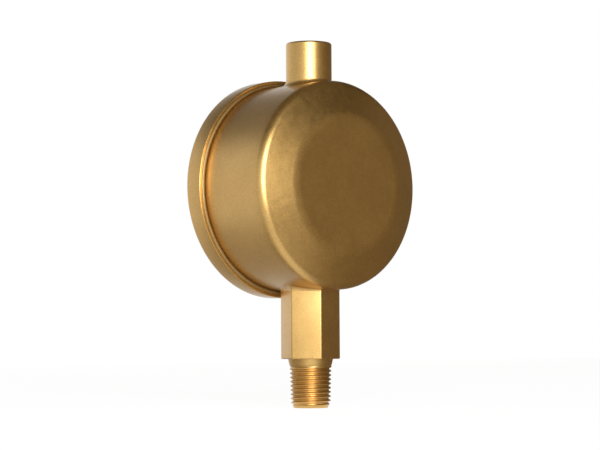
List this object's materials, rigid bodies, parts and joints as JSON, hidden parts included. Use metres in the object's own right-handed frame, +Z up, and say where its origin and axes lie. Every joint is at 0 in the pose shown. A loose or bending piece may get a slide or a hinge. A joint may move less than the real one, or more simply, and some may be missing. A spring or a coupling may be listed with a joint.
{
  "type": "steam air vent",
  "caption": "Float and thermostatic air vent for a steam main: short lacquered brass drum on its side, vent tower on top, hexagonal stem with a tapered pipe thread below.",
  "frame": {"origin": "centre of the stem's lower end face, on the axis of the pipe thread, where the vent starts into its pipe fitting", "axes": "+Z up along the thread, stem and tower axis; the drum's axis lies along Y, its raised front towards -Y and its soldered rear cover towards +Y"},
  "size_m": [0.0744, 0.0397, 0.1231],
  "materials": {
    "lacquered_shell": "satin gold lacquer over drawn brass, fine metallic grain",
    "lacquered_cover": "satin gold lacquer over pressed brass, fine metallic grain",
    "lacquered_seam": "satin gold lacquer over solder",
    "lacquered_tower": "satin gold lacquer over turned brass",
    "lacquered_tower_joint": "satin gold lacquer over solder",
    "lacquered_stem": "satin gold lacquer over hexagonal brass bar",
    "lacquered_stem_joint": "satin gold lacquer over brazing",
    "turned_brass": "bright turned brass",
    "stamped_brass": "plain stamped brass",
    "soft_copper": "annealed copper",
    "spring_bronze": "spring bronze strip",
    "drawn_bronze": "drawn bronze sheet",
    "stainless_steel": "turned stainless steel",
    "soft_solder": "soft solder"
  },
  "bodies": {
    "housing": {"front_shell": "lacquered_shell", "rear_cover": "lacquered_cover", "seam_solder": "lacquered_seam", "vent_tower": "lacquered_tower", "tower_solder": "lacquered_tower_joint", "hex_stem": "lacquered_stem", "stem_solder": "lacquered_stem_joint", "port_seat": "turned_brass", "seat_gasket": "soft_copper", "guide_cage": "stamped_brass", "float_stand": "stamped_brass", "siphon_strip": "spring_bronze", "siphon_rivet": "turned_brass"},
    "float": {"float_top_shell": "drawn_bronze", "float_bottom_shell": "drawn_bronze", "float_band": "drawn_bronze", "pin_socket": "turned_brass", "valve_pin": "stainless_steel", "charge_plug": "soft_solder", "diaphragm_ring": "stamped_brass", "float_diaphragm": "spring_bronze"},
    "button": {"thrust_plate": "stamped_brass", "thrust_button": "stainless_steel"}
  },
  "joints": [
    {"name": "float_lift", "type": "slide", "parent": "housing", "child": "float", "axis": [0, 0, 1], "range_m": [0, 0.002]},
    {"name": "button_thrust", "type": "slide", "parent": "float", "child": "button", "axis": [0, 0, -1], "range_m": [0, 0.002], "deforming": ["float_diaphragm"]}
  ],
  "couplings": [
    {"joint": "button_thrust", "follows": "float_lift", "ratio": 1}
  ]
}
